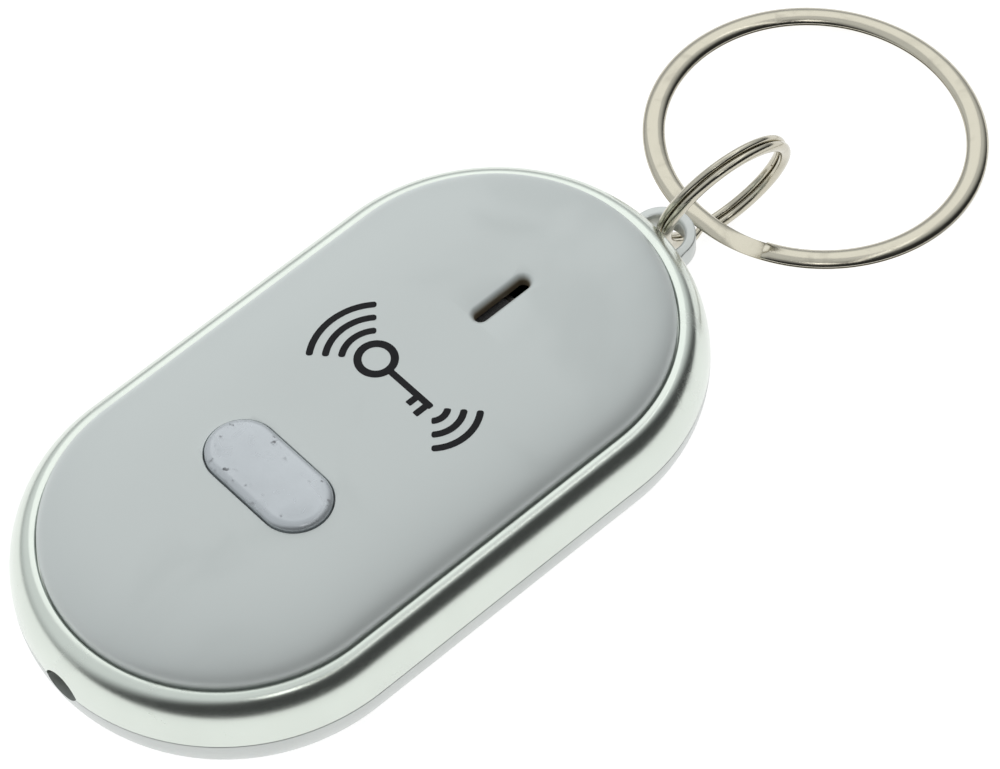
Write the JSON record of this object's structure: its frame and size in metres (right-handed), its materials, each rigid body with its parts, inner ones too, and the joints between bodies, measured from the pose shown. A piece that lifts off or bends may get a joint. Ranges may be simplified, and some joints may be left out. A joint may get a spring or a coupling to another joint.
{
  "type": "key finder fob",
  "caption": "Oval silver key-finder fob with a push button, sound slot, torch lamp and lug, carrying a small and a large split ring.",
  "frame": {"origin": "middle of the flat back face of the casing, which rests on the table", "axes": "+Y along the fob towards the key ring, +X across the face in the reading direction, +Z out of the front face"},
  "size_m": [0.032, 0.088, 0.0122],
  "materials": {
    "back_casing": "satin silver, electroplated look",
    "front_casing": "glossy silver, electroplated look",
    "plate": "satin silver-grey paint",
    "button": "glossy silver",
    "screw_steel": "zinc-plated",
    "board": "green solder mask",
    "black_resin": "black epoxy",
    "switch_black": "moulded black",
    "tinned_steel": "tinned",
    "plunger_white": "moulded white",
    "capsule_can": "drawn can",
    "felt": "black dust felt",
    "lamp_epoxy": "clear epoxy",
    "ferrite": "ferrite",
    "copper_wire": "enamelled copper",
    "chip_black": "black chip parts",
    "chip_tan": "ceramic chip parts",
    "foam": "closed-cell foam",
    "disc_brass": "sheet brass",
    "ceramic": "silvered ceramic",
    "wire_jacket": "red insulated wire",
    "cell_steel": "nickel-plated cell can",
    "contact_metal": "plated spring contact",
    "ring_nickel": "nickel-plated steel"
  },
  "bodies": {
    "casing": {"back_shell": "back_casing", "front_shell": "front_casing", "face_plate": "plate", "battery_door": "back_casing", "door_screw": "screw_steel", "case_screws": "screw_steel", "circuit_board": "board", "controller_chip": "black_resin", "switch_base": "switch_black", "switch_cover": "tinned_steel", "switch_legs": "tinned_steel", "microphone_capsule": "capsule_can", "microphone_felt": "felt", "torch_lamp": "lamp_epoxy", "torch_leads": "tinned_steel", "boost_core": "ferrite", "boost_winding": "copper_wire", "transistor": "chip_black", "resistors": "chip_black", "capacitors": "chip_tan", "sounder_seal": "foam", "sounder_disc": "disc_brass", "sounder_ceramic": "ceramic", "sounder_wires": "wire_jacket", "battery_cell_a": "cell_steel", "battery_cell_b": "cell_steel", "contact_positive": "contact_metal", "contact_negative": "contact_metal", "contact_bridge": "contact_metal"},
    "button": {"button_cap": "button"},
    "plunger": {"switch_plunger": "plunger_white"},
    "small_ring": {"small_split_ring": "ring_nickel"},
    "large_ring": {"large_split_ring": "ring_nickel"}
  },
  "joints": [
    {"name": "button_press", "type": "slide", "parent": "casing", "child": "button", "axis": [0, 0, -1], "range_m": [0, 0.0004], "stiffness_N_per_m": 2000, "springref_m": -0.0002},
    {"name": "switch_travel", "type": "slide", "parent": "casing", "child": "plunger", "axis": [0, 0, -1], "range_m": [0, 0.0004]},
    {"name": "small_ring_swing", "type": "hinge", "parent": "casing", "child": "small_ring", "pos_m": [0, 0.02997, 0.0039], "axis": [1, 0, 0], "range_deg": [-50, 2]},
    {"name": "large_ring_swing", "type": "hinge", "parent": "small_ring", "child": "large_ring", "pos_m": [0, 0.03384, 0.00264], "axis": [1, 0, 0], "range_deg": [-60, 80]}
  ],
  "couplings": [
    {"joint": "switch_travel", "follows": "button_press", "ratio": 1}
  ]
}
